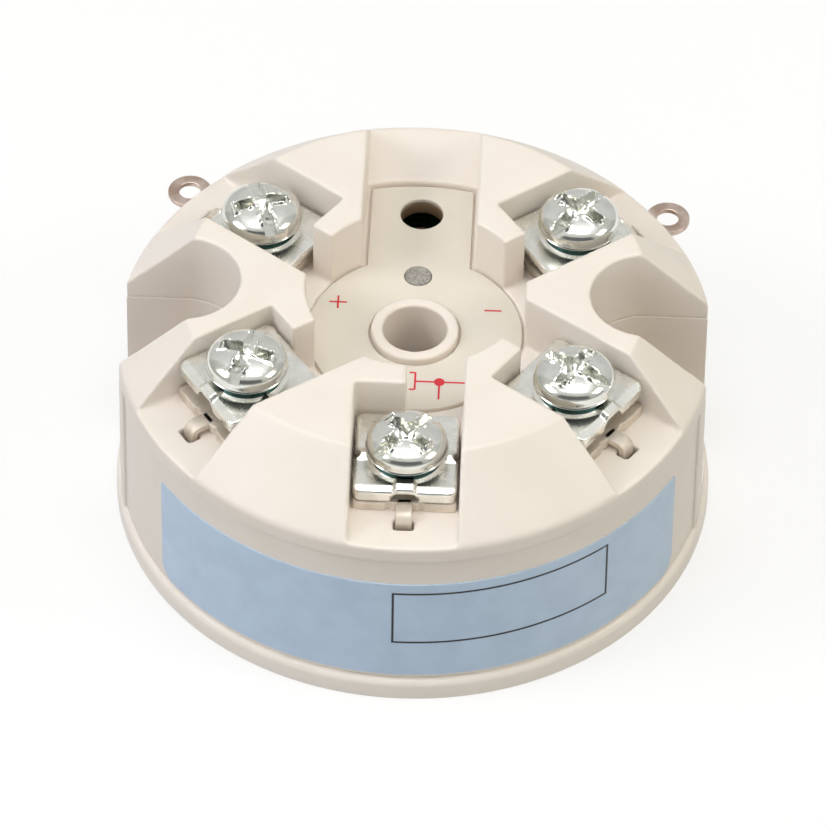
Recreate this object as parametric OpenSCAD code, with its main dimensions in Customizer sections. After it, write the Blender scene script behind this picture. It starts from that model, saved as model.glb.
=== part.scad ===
// Head-mounted temperature transmitter: a round moulded puck that screws down
// on two fixing slots, with five clamp terminals set into radial pockets.
// Origin at the centre of the underside, +Z up, the front terminal towards -Y.

/* [Layout] */
// Distance between the two fixing screws, on which the part is laid out
fixing_spacing = 33; // [30:0.1:38]
// Distance from a fixing screw to the side of the case
case_margin = 4.85; // [4.4:0.05:5.8]
// Distance from a clamp screw to the side of the case
terminal_inset = 7.25; // [6.4:0.05:8.2]
// Angle from the front terminal to each of its neighbours
front_spread = 55; // [54:0.5:56]
// Angle from the back channel to each back terminal
back_spread = 54; // [53:0.5:55]

/* [Case] */
// How far the base disc stands out past the case as a bead
base_proud = 0.15; // [0.1:0.05:0.5]
// Thickness of the base disc
base_t = 1.9; // [1.4:0.1:3]
// Rounding of the base disc's upper edge
base_edge_r = 0.7; // [0.2:0.1:0.9]
// Height of the seam between the case and the housing
seam_z = 13.8; // [13:0.1:16]
// Thickness of the case wall
case_wall = 1.8; // [1.4:0.1:2.2]
// Depth of the shallow recess that takes the side label
recess_depth = 0.2; // [0.1:0.05:0.4]
// Half of the angle that the recess covers at the front
recess_half_angle = 75; // [66:1:80]

/* [Housing] */
// Thickness of the deck that carries the terminals
deck_t = 1.4; // [1:0.1:2.4]
// Height of the wedge-shaped walls above the deck
wedge_h = 4.8; // [3.6:0.1:5.2]
// Width of the sloping shoulder round the wall tops
shoulder_w = 4.85; // [3.6:0.05:5.8]
// Rounding where the shoulder meets the side
shoulder_r = 0.8; // [0.3:0.1:1.2]
// Height of the ring that plugs the housing into the case
spigot_h = 1.2; // [0.8:0.1:2]
// Thickness of that ring
spigot_t = 0.8; // [0.6:0.1:1]

/* [Centre well] */
// Width of the open channel that runs to the back
channel_w = 8.2; // [7.8:0.1:8.8]
// Bore of the sensor tube
tube_bore_d = 4.6; // [4:0.1:5]
// Outer diameter of the sensor tube
tube_d = 6.3; // [6:0.1:7]
// How far the tube's ring stands above the face plate
ring_h = 0.5; // [0.3:0.1:1]
// Height of the lip behind the face plate
lip_h = 0.4; // [0.2:0.1:0.6]

/* [Face plate] */
// Thickness of the face plate
face_t = 0.4; // [0.3:0.05:0.6]
// How far the face plate's top stands above the deck
face_proud = 0.1; // [0.05:0.05:0.2]
// Strip of the channel's floor beside the plate's finger
finger_gap = 0.4; // [0.2:0.1:0.8]
// Distance from the far end of the finger to the side of the case
finger_inset = 6.25; // [5.4:0.05:7.2]

/* [Fixing slots] */
// Diameter of the fixing holes
fixing_hole_d = 4.5; // [4:0.1:5]
// Width of the slots that clear the fixing screws' heads
slot_w = 8.1; // [7.6:0.1:8.4]
// Height of the pads at the foot of the slots
pad_h = 1.1; // [0.5:0.1:2]
// Thickness of the case walls round the slots
slot_wall = 1.2; // [0.9:0.1:1.3]

/* [Terminal pockets] */
// Width of a pocket
pocket_w = 7.7; // [6.8:0.05:8.4]
// Gap on each side of a terminal in its pocket
side_gap = 0.2; // [0.15:0.05:0.5]
// Thickness of the return that half closes a pocket towards the middle
return_t = 1.8; // [1.4:0.05:2.2]
// Gap between a return and its clamp plate
return_gap = 0.3; // [0.2:0.05:0.8]
// How far a return reaches across its pocket
return_reach = 3.6; // [2.6:0.1:4.2]
// How far the return of the front left pocket reaches
return_reach_front_left = 2.9; // [2.4:0.1:4.2]

/* [Terminals] */
// Diameter of the clamp screws' thread
thread_d = 3; // [2.6:0.1:3.1]
// Pitch of the thread
thread_pitch = 0.5; // [0.4:0.05:0.6]
// Diameter of the screw head
head_d = 5.9; // [5.5:0.1:6.2]
// Height of the screw head
head_h = 1.85; // [1.6:0.05:2.3]
// Height of the head's upright rim below the dome
rim_h = 0.6; // [0.4:0.05:0.7]
// Length of the thread under the head
thread_l = 6.9; // [6.2:0.1:7.2]
// Width of the driver slot
driver_slot_w = 0.8; // [0.6:0.1:1]
// Depth of the driver slot
driver_slot_depth = 1.1; // [0.8:0.1:1.2]
// Thickness of a terminal plate
plate_t = 0.8; // [0.6:0.05:1]
// Length of a terminal plate
plate_l = 7.3; // [6.8:0.1:7.5]
// Width of the tongue that locks a terminal plate in the deck
tongue_w = 1.15; // [0.9:0.05:1.4]
// Thickness of the tongue
tongue_t = 0.5; // [0.4:0.05:0.6]
// Height of a clamp plate over its raised middle
clamp_t = 1.35; // [1.15:0.05:1.5]
// Gap between a clamp plate and its screw's head
head_gap = 0.25; // [0.15:0.05:0.4]
// Diameter of the threaded bush below a terminal plate
bush_d = 5; // [4.4:0.1:5.1]

/* [Test lugs] */
// Thickness of the lugs
lug_t = 0.4; // [0.3:0.05:0.5]
// Width of a lug's neck
lug_w = 1.9; // [1.5:0.1:2.2]
// Outer diameter of the eye
eye_d = 3.2; // [2.8:0.1:3.6]
// Diameter of the hole in the eye
eye_hole_d = 1.6; // [1:0.1:1.8]
// How far the middle of an eye stands out past the case
eye_out = 1.55; // [0.9:0.05:1.6]

/* [Circuit board] */
// Thickness of the circuit board
board_t = 1.6; // [1:0.1:2]
// Height from the board to the deck
board_gap = 3.8; // [3.2:0.1:4.4]
// Diameter of the hole over the push button
button_hole_d = 3.1; // [2.6:0.1:3.4]
// Distance from the push button to the far end of the face plate's finger
button_inset = 2.9; // [2.5:0.1:3.4]
// Diameter of the push button
button_d = 2; // [1.6:0.1:2.2]
// Travel of the push button
button_travel = 0.3; // [0.2:0.05:0.4]
// Diameter of the indicator's light pipe
pipe_d = 1.9; // [1.6:0.1:2.2]
// Distance from the light pipe to the sensor tube
pipe_inset = 2.65; // [2.3:0.05:3]

/* [Side label] */
// Height of the label's lower edge above the base disc
label_foot = 0.4; // [0.2:0.1:1]
// Height of the bare strip above the label
label_head = 2.3; // [0.5:0.1:5]
// Thickness of the label
label_t = 0.12; // [0.08:0.02:0.16]
// Angle from the front to the label's left end
label_left_angle = 55; // [40:1:65]
// Angle from the front to the label's right end
label_right_angle = 63; // [40:1:65]

/* [Hidden] */
$fn = 96;

// One overrun for every cut
over = 0.5;
// Clearance round pieces that are fitted by hand
fit_gap = 0.15;
// Clearance of the thread in its bush
thread_gap = 0.05;
// Clearance of a pin or pipe in its hole
pin_gap = 0.05;

fixing_r = fixing_spacing / 2;
case_r = fixing_r + case_margin;
base_r = case_r + base_proud;
terminal_r = case_r - terminal_inset;
crease_r = case_r - shoulder_w;
slot_r = slot_w / 2;
tube_r = tube_d / 2;
thread_r = thread_d / 2 - thread_gap;
bore_r = thread_d / 2;
head_r = head_d / 2;
bush_r = bush_d / 2;
pocket_half = pocket_w / 2;
recess_r = case_r - recess_depth;

// The terminal plate, its clamp plate, the return and the well, from the outside in
plate_w = pocket_w - 2 * side_gap;
clamp_w = plate_w;
// How far a clamp plate reaches past the inner end of its terminal plate
clamp_reach = 0.35;
plate_in = terminal_r - plate_l / 2 - fit_gap;
plate_out = plate_in + plate_l;
clamp_in = plate_in - clamp_reach;
return_out = clamp_in - return_gap;
well_r = return_out - return_t;

// The face plate's finger, with the push button and the light pipe under it
finger_w = channel_w - 2 * finger_gap;
finger_reach = case_r - finger_inset;
button_y = finger_reach - button_inset;
pipe_y = tube_r + pipe_inset;

deck_z = seam_z + deck_t;
wall_top = deck_z + wedge_h;
face_z = deck_z + face_proud;
face_floor = face_z - face_t;
lip_z = face_z + lip_h;
ring_z = face_z + ring_h;
board_top = deck_z - deck_t - board_gap;
board_z = board_top - board_t;
slot_floor = base_t + pad_h;

// Places of the terminals in the order front, front right, back right, back left, front left
FRONT = 0;
FRONT_RIGHT = 1;
BACK_RIGHT = 2;
BACK_LEFT = 3;
FRONT_LEFT = 4;
TERMINALS = [FRONT, FRONT_RIGHT, BACK_RIGHT, BACK_LEFT, FRONT_LEFT];
terminal_angle = [270, 270 + front_spread, 90 - back_spread, 90 + back_spread, 270 - front_spread];
// Side of its pocket that each return grows from
return_side = [-1, -1, 1, -1, -1];
return_length = [return_reach, return_reach, return_reach, return_reach, return_reach_front_left];
// How far each clamp screw is backed out, in turns of its thread
turns_out = [0.1, 2.2, 1.4, 0.2, 2.9];
// Turn of the driver slot in each head
driver_angle = [135, 4, 17, 143, 38];

// Clamp plate against its terminal plate when the screw is tight, standing on its turned-down lips
seat_gap = 0.05;
lip_drop = 0.4;
clamp_z = deck_z + plate_t + seat_gap + lip_drop;
head_z = clamp_z + clamp_t + head_gap;

function lift(t) = turns_out[t] * thread_pitch;

// Turns its children, drawn along +X, to a terminal's direction
module at_terminal(t) {
    rotate([0, 0, terminal_angle[t]]) children();
}

// A plate centred across X that starts at x0
module bar(x0, length, width, z0, height) {
    translate([x0, -width / 2, z0]) cube([length, width, height]);
}

// The open-ended slot of a fixing screw, widened by grow, on the +X side
module slot_shape(grow, z0, height) {
    translate([fixing_r, 0, z0]) cylinder(r = slot_r + grow, h = height);
    bar(fixing_r, base_r, slot_w + 2 * grow, z0, height);
}

module both_slots(grow, z0, height) {
    for (side = [0, 180]) rotate([0, 0, side]) slot_shape(grow, z0, height);
}

// Points of an arc about c, from angle a0 to a1
function arc(c, r, a0, a1, steps) =
    [for (i = [0:steps]) c + r * [cos(a0 + (a1 - a0) * i / steps), sin(a0 + (a1 - a0) * i / steps)]];

// Section of the housing: tube and ring, well, wall, sloping shoulder, deck and spigot
shoulder_slope = atan2(wedge_h, case_r - crease_r);
shoulder_turn = 90 - shoulder_slope;
shoulder_back = shoulder_r * tan(shoulder_turn / 2);
shoulder_steps = 5;
spigot_r = case_r - case_wall - fit_gap;
module housing_section() {
    polygon(concat(
        [[tube_bore_d / 2, 0], [tube_r, 0], [tube_r, seam_z]],
        [[spigot_r - spigot_t, seam_z], [spigot_r - spigot_t, seam_z - spigot_h]],
        [[spigot_r, seam_z - spigot_h], [spigot_r, seam_z], [case_r, seam_z]],
        arc([case_r - shoulder_r, deck_z - shoulder_back], shoulder_r, 0, shoulder_turn, shoulder_steps),
        [[crease_r, wall_top], [well_r, wall_top], [well_r, face_floor], [tube_r, face_floor]],
        [[tube_r, ring_z], [tube_bore_d / 2, ring_z]]
    ));
}

// The space of one terminal: a channel to the rim, half closed at its inner end by a return
module pocket(t) {
    open_w = pocket_w - return_length[t];
    start = sqrt(well_r * well_r - pocket_half * pocket_half) - fit_gap;
    at_terminal(t) {
        bar(return_out, base_r, pocket_w, deck_z, wedge_h + over);
        translate([start, return_side[t] > 0 ? -pocket_half : pocket_half - open_w, deck_z])
            cube([return_out + over - start, open_w, wedge_h + over]);
    }
}

// Slot in the deck that takes the end of a terminal plate's tongue
tongue_span = 0.92;
tongue_out = plate_out + tongue_span + tongue_t;
tongue_slot_l = 2 * tongue_t;
module tongue_slot(t) {
    at_terminal(t)
        bar(tongue_out - tongue_t - fit_gap, tongue_slot_l, tongue_w + 2 * fit_gap,
            seam_z - over, deck_t + 2 * over);
}

// Outline of the well, the channel and the bed of the face plate
module keyhole(grow) {
    difference() {
        union() {
            circle(r = well_r - fit_gap + grow);
            intersection() {
                translate([-finger_w / 2 - grow, 0]) square([finger_w + 2 * grow, finger_reach + grow]);
                circle(r = finger_reach + grow);
            }
        }
        circle(r = tube_r + fit_gap - grow);
    }
}

lug_z = seam_z - lug_t;
eye_r = case_r + eye_out;
lug_terminal = [BACK_RIGHT, BACK_LEFT];
// Turn of each eye about the centre, away from its terminal
lug_turn = [2.8, -5.9];
lug_angle = [for (i = [0, 1]) terminal_angle[lug_terminal[i]] + lug_turn[i]];
lug_collar = 0.64;

module place_of(r, angle) {
    translate([r * cos(angle), r * sin(angle)]) children();
}

// Neck of a lug, from its collar to its eye
module lug_neck(i, width) {
    a = terminal_angle[lug_terminal[i]];
    start = terminal_r * [cos(a), sin(a)];
    finish = eye_r * [cos(lug_angle[i]), sin(lug_angle[i])];
    run = finish - start;
    translate(start) rotate(atan2(run[1], run[0]))
        translate([bush_r, -width / 2]) square([norm(run) - bush_r - eye_hole_d / 2, width]);
}

module test_lug(i) {
    color("tan") translate([0, 0, lug_z]) linear_extrude(lug_t) difference() {
        union() {
            place_of(terminal_r, terminal_angle[lug_terminal[i]]) circle(r = bush_r + pin_gap + lug_collar);
            lug_neck(i, lug_w);
            place_of(eye_r, lug_angle[i]) circle(d = eye_d);
        }
        place_of(terminal_r, terminal_angle[lug_terminal[i]]) circle(r = bush_r + pin_gap);
        place_of(eye_r, lug_angle[i]) circle(d = eye_hole_d);
    }
}

// Way out for a lug's neck and collar
module lug_opening(i) {
    lug_neck(i, lug_w + 2 * fit_gap);
    place_of(terminal_r, terminal_angle[lug_terminal[i]])
        circle(r = bush_r + pin_gap + lug_collar + fit_gap);
}

module lug_cut() {
    for (i = [0, 1]) translate([0, 0, lug_z]) linear_extrude(lug_t) lug_opening(i);
}

// The open channel from the well to the back: the bed of the plate's finger, then a lip
module channel() {
    start = tube_r + fit_gap;
    translate([-channel_w / 2, start, lip_z]) cube([channel_w, base_r, wall_top]);
    intersection() {
        union() {
            translate([-channel_w / 2, start, deck_z]) cube([channel_w, base_r, wedge_h]);
            translate([-finger_w / 2 - fit_gap, start, face_floor])
                cube([finger_w + 2 * fit_gap, base_r, wedge_h]);
        }
        cylinder(r = finger_reach + fit_gap, h = wall_top);
    }
}

module upper_housing() color("linen") difference() {
    rotate_extrude() housing_section();
    channel();
    for (t = TERMINALS) {
        pocket(t);
        tongue_slot(t);
        at_terminal(t) translate([terminal_r, 0, seam_z - over])
            cylinder(r = bush_r + pin_gap, h = deck_t + 2 * over);
    }
    both_slots(0, seam_z - spigot_h - over, spigot_h + deck_t + wedge_h + 2 * over);
    both_slots(slot_wall + fit_gap, seam_z - spigot_h - over, spigot_h + over);
    for (i = [0, 1]) translate([0, 0, seam_z - spigot_h - over]) linear_extrude(spigot_h + over)
        lug_opening(i);
    translate([0, button_y, seam_z - over]) cylinder(d = button_hole_d, h = deck_t + 2 * over);
    translate([0, pipe_y, seam_z - over]) cylinder(d = pipe_d + 2 * pin_gap, h = deck_t + 2 * over);
}

// The board rests on a ledge inside the case
ledge_w = 0.8;
ledge_t = 1.4;
board_r = case_r - case_wall - 2 * fit_gap;
module lower_case() color("linen") difference() {
    intersection() {
        translate([0, 0, base_t]) cylinder(r = case_r, h = seam_z - base_t);
        union() {
            difference() {
                cylinder(r = case_r, h = seam_z);
                cylinder(r = case_r - case_wall, h = seam_z + over);
            }
            translate([0, 0, board_z - ledge_t]) difference() {
                cylinder(r = case_r - case_wall / 2, h = ledge_t);
                translate([0, 0, -over])
                    cylinder(r = case_r - case_wall - ledge_w, h = ledge_t + 2 * over);
            }
            both_slots(slot_wall, base_t, seam_z - base_t);
        }
    }
    both_slots(0, base_t - over, seam_z + over);
    // the shallow recess at the front, from one vertical end line to the other
    rotate([0, 0, 270 - recess_half_angle]) rotate_extrude(angle = 2 * recess_half_angle)
        translate([recess_r, base_t - over]) square([recess_depth + over, seam_z - base_t + 2 * over]);
    lug_cut();
}

// A disc with a rounded upper edge, two pads in the slots and a spigot inside the case
edge_steps = 5;
base_spigot_h = 1.5;
module base_cover() color("linen") difference() {
    union() {
        rotate_extrude() polygon(concat(
            [[0, 0], [base_r, 0]],
            arc([base_r - base_edge_r, base_t - base_edge_r], base_edge_r, 0, 90, edge_steps),
            [[0, base_t]]
        ));
        intersection() {
            both_slots(-fit_gap, 0, slot_floor);
            cylinder(r = case_r - recess_depth, h = slot_floor);
        }
        difference() {
            cylinder(r = spigot_r, h = base_t + base_spigot_h);
            cylinder(r = spigot_r - spigot_t, h = base_t + base_spigot_h + over);
            both_slots(slot_wall + fit_gap, base_t, base_spigot_h + over);
        }
    }
    translate([0, 0, -over]) cylinder(r = tube_r + fit_gap, h = base_t + 2 * over);
    for (side = [-1, 1]) translate([side * fixing_r, 0, -over])
        cylinder(d = fixing_hole_d, h = slot_floor + 2 * over);
}

module face_plate() color("gainsboro") difference() {
    translate([0, 0, face_floor]) linear_extrude(face_t) keyhole(0);
    translate([0, button_y, face_floor - over]) cylinder(d = button_hole_d, h = face_t + 2 * over);
    translate([0, pipe_y, face_floor - over]) cylinder(d = pipe_d + 2 * pin_gap, h = face_t + 2 * over);
}

module side_label() color("lightsteelblue")
    rotate([0, 0, 270 - label_left_angle]) rotate_extrude(angle = label_left_angle + label_right_angle)
        translate([recess_r, base_t + label_foot])
            square([label_t, seam_z - base_t - label_foot - label_head]);

// A domed head with a driver slot crossed by a second one, over a plain thread
dome_h = head_h - rim_h;
dome_steps = 7;
cross_l = 0.66 * head_d;
module clamp_screw(t) color("silver") at_terminal(t) translate([terminal_r, 0, head_z + lift(t)]) {
    translate([0, 0, -thread_l]) cylinder(r = thread_r, h = thread_l + rim_h / 2);
    difference() {
        rotate_extrude() polygon(concat(
            [[0, 0], [head_r, 0], [head_r, rim_h]],
            [for (i = [1:dome_steps - 1])
                [head_r * cos(90 * i / dome_steps), rim_h + dome_h * sin(90 * i / dome_steps)]],
            [[0, head_h]]
        ));
        rotate([0, 0, driver_angle[t]]) {
            translate([-head_d / 2, -driver_slot_w / 2, head_h - driver_slot_depth])
                cube([head_d, driver_slot_w, driver_slot_depth + over]);
            translate([-driver_slot_w / 2, -cross_l / 2, head_h - driver_slot_depth])
                cube([driver_slot_w, cross_l, driver_slot_depth + over]);
        }
    }
}

// A square pressure plate with a raised middle, notched sides and a turned-down outer edge
notch_r = 0.5;
notch_depth = 0.3;
raised_t = clamp_t / 2;
lip_t = 0.35;
lip_gap = tongue_w + 4 * fit_gap;
clamp_l = plate_out - clamp_in;
module clamp_plate(t) color("gainsboro") at_terminal(t) translate([0, 0, clamp_z + lift(t)]) difference() {
    union() {
        bar(clamp_in, clamp_l, clamp_w, 0, clamp_t - raised_t);
        translate([terminal_r, 0, clamp_t - raised_t - over])
            cylinder(r1 = head_r + raised_t / 4, r2 = head_r - 3 * raised_t / 4, h = raised_t + over);
        for (side = [-1, 1]) translate([clamp_in + clamp_l - lip_t, side * lip_gap / 2, -lip_drop])
            translate([0, side > 0 ? 0 : -(clamp_w - lip_gap) / 2, 0])
                cube([lip_t, (clamp_w - lip_gap) / 2, lip_drop + clamp_t / 2]);
    }
    for (side = [-1, 1]) translate([terminal_r, side * (clamp_w / 2 + notch_r - notch_depth), -over])
        cylinder(r = notch_r, h = clamp_t + 2 * over);
    translate([terminal_r, 0, -over]) cylinder(r = bore_r, h = clamp_t + 2 * over);
}

// A flat stamping with a tongue at its outer end that hooks into the deck
module terminal_plate(t) color("burlywood") at_terminal(t) difference() {
    union() {
        bar(plate_in, plate_l, plate_w, deck_z, plate_t);
        bar(plate_out - tongue_t, tongue_out - plate_out + tongue_t, tongue_w,
            deck_z + plate_t - tongue_t, tongue_t);
        bar(tongue_out - tongue_t, tongue_t, tongue_w, deck_z - deck_t / 2, deck_t / 2 + plate_t);
    }
    translate([terminal_r, 0, deck_z - over]) cylinder(r = bore_r, h = plate_t + 2 * over);
}

module threaded_bushes() color("gold") for (t = TERMINALS) at_terminal(t)
    translate([terminal_r, 0, board_top]) difference() {
        cylinder(r = bush_r, h = deck_z - board_top);
        translate([0, 0, -over]) cylinder(r = bore_r, h = deck_z - board_top + 2 * over);
    }

// The screws' ends pass the board through a hole under each bush
module circuit_board() color("darkgreen") translate([0, 0, board_z]) difference() {
    cylinder(r = board_r, h = board_t);
    translate([0, 0, -over]) cylinder(r = tube_r + fit_gap, h = board_t + 2 * over);
    for (t = TERMINALS) at_terminal(t) translate([terminal_r, 0, -over])
        cylinder(r = bore_r, h = board_t + 2 * over);
    both_slots(slot_wall + fit_gap, -over, board_t + 2 * over);
}

// A small boxed component on the upper side of the board
module chip(x, y, size) {
    translate([x - size[0] / 2, y - size[1] / 2, board_top]) cube(size);
}

microcontroller_size = [4, 4, 0.9];
converter_size = [3, 3, 1.1];
transistor_size = [3, 2.4, 1.2];
capacitor_size = [1.6, 3.2, 1.6];
resistor_size = [2, 1.2, 0.5];
led_size = [1.6, 0.9, 0.6];
// Gap between the sensor tube and the chips round it
chip_gap = 0.75;
// Distance from the sensor tube to the ring of capacitors
capacitor_inset = 3.05;

module microcontroller() color("dimgray")
    chip(0, -tube_r - chip_gap - microcontroller_size[1] / 2, microcontroller_size);
module converter_chip() color("dimgray")
    chip(-tube_r - chip_gap - converter_size[0] / 2, 0, converter_size);
module output_transistor() color("dimgray")
    chip(tube_r + chip_gap + transistor_size[0] / 2, 0, transistor_size);
module capacitors() color("goldenrod") for (i = [0:3]) rotate([0, 0, 45 + 90 * i])
    chip(tube_r + capacitor_inset, 0, capacitor_size);
resistor_ring_r = (tube_r + terminal_r) / 2;
module resistors() color("black") for (i = [0:7]) rotate([0, 0, 45 * (i + 0.5)])
    translate([resistor_ring_r - resistor_size[0] / 2, -resistor_size[1] / 2, board_z - resistor_size[2]])
        cube(resistor_size);

// A push switch under the access hole
switch_w = 3.6;
switch_h = 1.6;
well_depth = 0.9;
button_h = 1.9;
button_seat = board_top + switch_h - well_depth;
module switch_body() color("dimgray") difference() {
    chip(0, button_y, [switch_w, switch_w, switch_h]);
    translate([0, button_y, button_seat]) cylinder(d = button_d + 2 * pin_gap, h = well_depth + over);
}
module push_button() color("peru")
    translate([0, button_y, button_seat + button_travel + seat_gap]) cylinder(d = button_d, h = button_h);

module status_led() color("ivory") chip(0, pipe_y, led_size);
module light_pipe() color("gray") translate([0, pipe_y, board_top + led_size[2] + fit_gap])
    cylinder(d = pipe_d, h = face_z - board_top - led_size[2] - fit_gap);

upper_housing();
lower_case();
base_cover();
face_plate();
side_label();
clamp_screw(FRONT);  // clamp_screw_front
clamp_screw(FRONT_RIGHT);  // clamp_screw_front_right
clamp_screw(BACK_RIGHT);  // clamp_screw_back_right
clamp_screw(BACK_LEFT);  // clamp_screw_back_left
clamp_screw(FRONT_LEFT);  // clamp_screw_front_left
clamp_plate(FRONT);  // clamp_plate_front
clamp_plate(FRONT_RIGHT);  // clamp_plate_front_right
clamp_plate(BACK_RIGHT);  // clamp_plate_back_right
clamp_plate(BACK_LEFT);  // clamp_plate_back_left
clamp_plate(FRONT_LEFT);  // clamp_plate_front_left
terminal_plate(FRONT);  // terminal_plate_front
terminal_plate(FRONT_RIGHT);  // terminal_plate_front_right
terminal_plate(BACK_RIGHT);  // terminal_plate_back_right
terminal_plate(BACK_LEFT);  // terminal_plate_back_left
terminal_plate(FRONT_LEFT);  // terminal_plate_front_left
threaded_bushes();
test_lug(0);  // test_lug_right
test_lug(1);  // test_lug_left
circuit_board();
microcontroller();
converter_chip();
output_transistor();
capacitors();
resistors();
switch_body();
push_button();
status_led();
light_pipe();
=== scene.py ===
import math

import bmesh
import bpy
import numpy as np
from mathutils import Matrix, Vector, noise


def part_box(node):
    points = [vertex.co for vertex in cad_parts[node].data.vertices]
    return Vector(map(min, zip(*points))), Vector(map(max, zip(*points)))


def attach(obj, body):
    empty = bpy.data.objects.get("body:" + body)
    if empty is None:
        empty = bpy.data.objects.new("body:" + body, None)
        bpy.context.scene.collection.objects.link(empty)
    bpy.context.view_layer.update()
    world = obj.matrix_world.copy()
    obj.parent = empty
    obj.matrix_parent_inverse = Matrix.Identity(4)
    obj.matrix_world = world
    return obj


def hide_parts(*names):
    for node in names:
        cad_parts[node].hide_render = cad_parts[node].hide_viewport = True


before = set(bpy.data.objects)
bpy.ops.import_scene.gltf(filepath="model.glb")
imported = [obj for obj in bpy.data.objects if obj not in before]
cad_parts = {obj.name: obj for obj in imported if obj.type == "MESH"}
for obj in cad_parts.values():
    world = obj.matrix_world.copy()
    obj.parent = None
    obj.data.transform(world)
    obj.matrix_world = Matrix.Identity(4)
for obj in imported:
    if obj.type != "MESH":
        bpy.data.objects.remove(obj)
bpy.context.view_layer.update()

mm = 0.001

# Base cover
# The disc that closes the puck from below, with a rounded bead round its edge.
# Moulded in ivory polyamide like the rest of the casing, it snaps in with a ring.

# The base's ivory is set paler than the case's: painted light on the low bead at the bottom.
painted_light_base_ivory = (0.94, 0.875, 0.81)
painted_light_base_ivory_shade = (0.92, 0.855, 0.785)
base_edge_r = 0.12 * mm
patch_scale = 900
patch_swing = 0.07
grain_scale = 5200
grain_depth = 0.04 * mm


def moulded_plastic(name, colour, shade, roughness=0.42, cloud_scale=240):
    """Matt moulded plastic: faint cloudy flow marks and a fine eroded grain."""
    material = bpy.data.materials.new(name)
    material.use_nodes = True
    tree = material.node_tree
    shader = tree.nodes["Principled BSDF"]
    shader.inputs["IOR"].default_value = 1.49
    shader.inputs["Specular IOR Level"].default_value = 0.4
    place = tree.nodes.new("ShaderNodeTexCoord")

    clouds = tree.nodes.new("ShaderNodeTexNoise")
    clouds.inputs["Scale"].default_value = cloud_scale
    clouds.inputs["Detail"].default_value = 4
    tint = tree.nodes.new("ShaderNodeValToRGB")
    tint.color_ramp.elements[0].position = 0.35
    tint.color_ramp.elements[0].color = (*shade, 1)
    tint.color_ramp.elements[1].position = 0.62
    tint.color_ramp.elements[1].color = (*colour, 1)
    tree.links.new(place.outputs["Object"], clouds.inputs["Vector"])
    tree.links.new(clouds.outputs["Fac"], tint.inputs["Fac"])
    tree.links.new(tint.outputs["Color"], shader.inputs["Base Color"])

    patches = tree.nodes.new("ShaderNodeTexNoise")
    patches.inputs["Scale"].default_value = patch_scale
    patches.inputs["Detail"].default_value = 3
    gloss = tree.nodes.new("ShaderNodeMapRange")
    gloss.inputs["To Min"].default_value = roughness - patch_swing
    gloss.inputs["To Max"].default_value = roughness + patch_swing
    tree.links.new(place.outputs["Object"], patches.inputs["Vector"])
    tree.links.new(patches.outputs["Fac"], gloss.inputs["Value"])
    tree.links.new(gloss.outputs["Result"], shader.inputs["Roughness"])

    grain = tree.nodes.new("ShaderNodeTexNoise")
    grain.inputs["Scale"].default_value = grain_scale
    grain.inputs["Detail"].default_value = 2
    bump = tree.nodes.new("ShaderNodeBump")
    bump.inputs["Strength"].default_value = 0.12
    bump.inputs["Distance"].default_value = grain_depth
    tree.links.new(place.outputs["Object"], grain.inputs["Vector"])
    tree.links.new(grain.outputs["Fac"], bump.inputs["Height"])
    tree.links.new(bump.outputs["Normal"], shader.inputs["Normal"])
    return material


def smooth_but_for_corners(mesh, corner):
    """Shades a mesh smooth, and keeps the edges sharper than corner degrees."""
    mesh.polygons.foreach_set("use_smooth", [True] * len(mesh.polygons))
    mesh.set_sharp_from_angle(angle=math.radians(corner))


corner_angle = 40
least_rounded = 24
same_point = 1e-6


def rounded_moulding(node, name, material, radius, steps):
    """The piece that stands for a node, its outer edges rounded as the tool leaves them."""
    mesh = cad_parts[node].data.copy()
    mesh.materials.clear()
    mesh.materials.append(material)
    body = bmesh.new()
    body.from_mesh(mesh)
    bmesh.ops.remove_doubles(body, verts=body.verts, dist=same_point)
    bmesh.ops.dissolve_limit(body, angle_limit=math.radians(0.5), verts=body.verts, edges=body.edges)
    weight = body.edges.layers.float.new("bevel_weight_edge")
    for edge in body.edges:
        if len(edge.link_faces) == 2 and edge.is_convex:
            if edge.calc_face_angle() >= math.radians(least_rounded):
                edge[weight] = 1
    body.to_mesh(mesh)
    body.free()
    piece = bpy.data.objects.new(name, mesh)
    bpy.context.scene.collection.objects.link(piece)
    bevel = piece.modifiers.new("rounding", "BEVEL")
    bevel.limit_method = "WEIGHT"
    bevel.width = radius
    bevel.segments = steps
    bevel.use_clamp_overlap = False
    bevel.miter_outer = "MITER_ARC"
    made = bpy.data.meshes.new_from_object(piece.evaluated_get(bpy.context.evaluated_depsgraph_get()))
    piece.modifiers.clear()
    piece.data = made
    made.name = name
    smooth_but_for_corners(made, corner_angle)
    normals = piece.modifiers.new("flat faces", "WEIGHTED_NORMAL")
    normals.keep_sharp = True
    made = bpy.data.meshes.new_from_object(piece.evaluated_get(bpy.context.evaluated_depsgraph_get()))
    piece.modifiers.clear()
    piece.data = made
    return piece


base_plastic = moulded_plastic("ivory base plastic", painted_light_base_ivory, painted_light_base_ivory_shade)
base = rounded_moulding("base_cover", "closing_disc", base_plastic, base_edge_r, 2)
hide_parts("base_cover")
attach(base, "housing")

# Lower case
# The can below the seam, with the slot walls and a shallow recess round the front.
# Moulded in the same ivory polyamide; the recess keeps the label from being rubbed off.

ivory = (0.88, 0.81, 0.745)
ivory_shade = (0.86, 0.79, 0.72)
case_edge_r = 0.1 * mm
case_plastic = moulded_plastic("ivory case plastic", ivory, ivory_shade)
case = rounded_moulding("lower_case", "case_shell", case_plastic, case_edge_r, 2)
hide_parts("lower_case")
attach(case, "housing")

# Circuit board and its components
# Glass-fibre board with the converter, its output stage and a push switch, soldered on.
# It drops into the case on a ledge and hangs on the five threaded bushes.

weave_scale = 3000
weave_depth = 0.03 * mm


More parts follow.
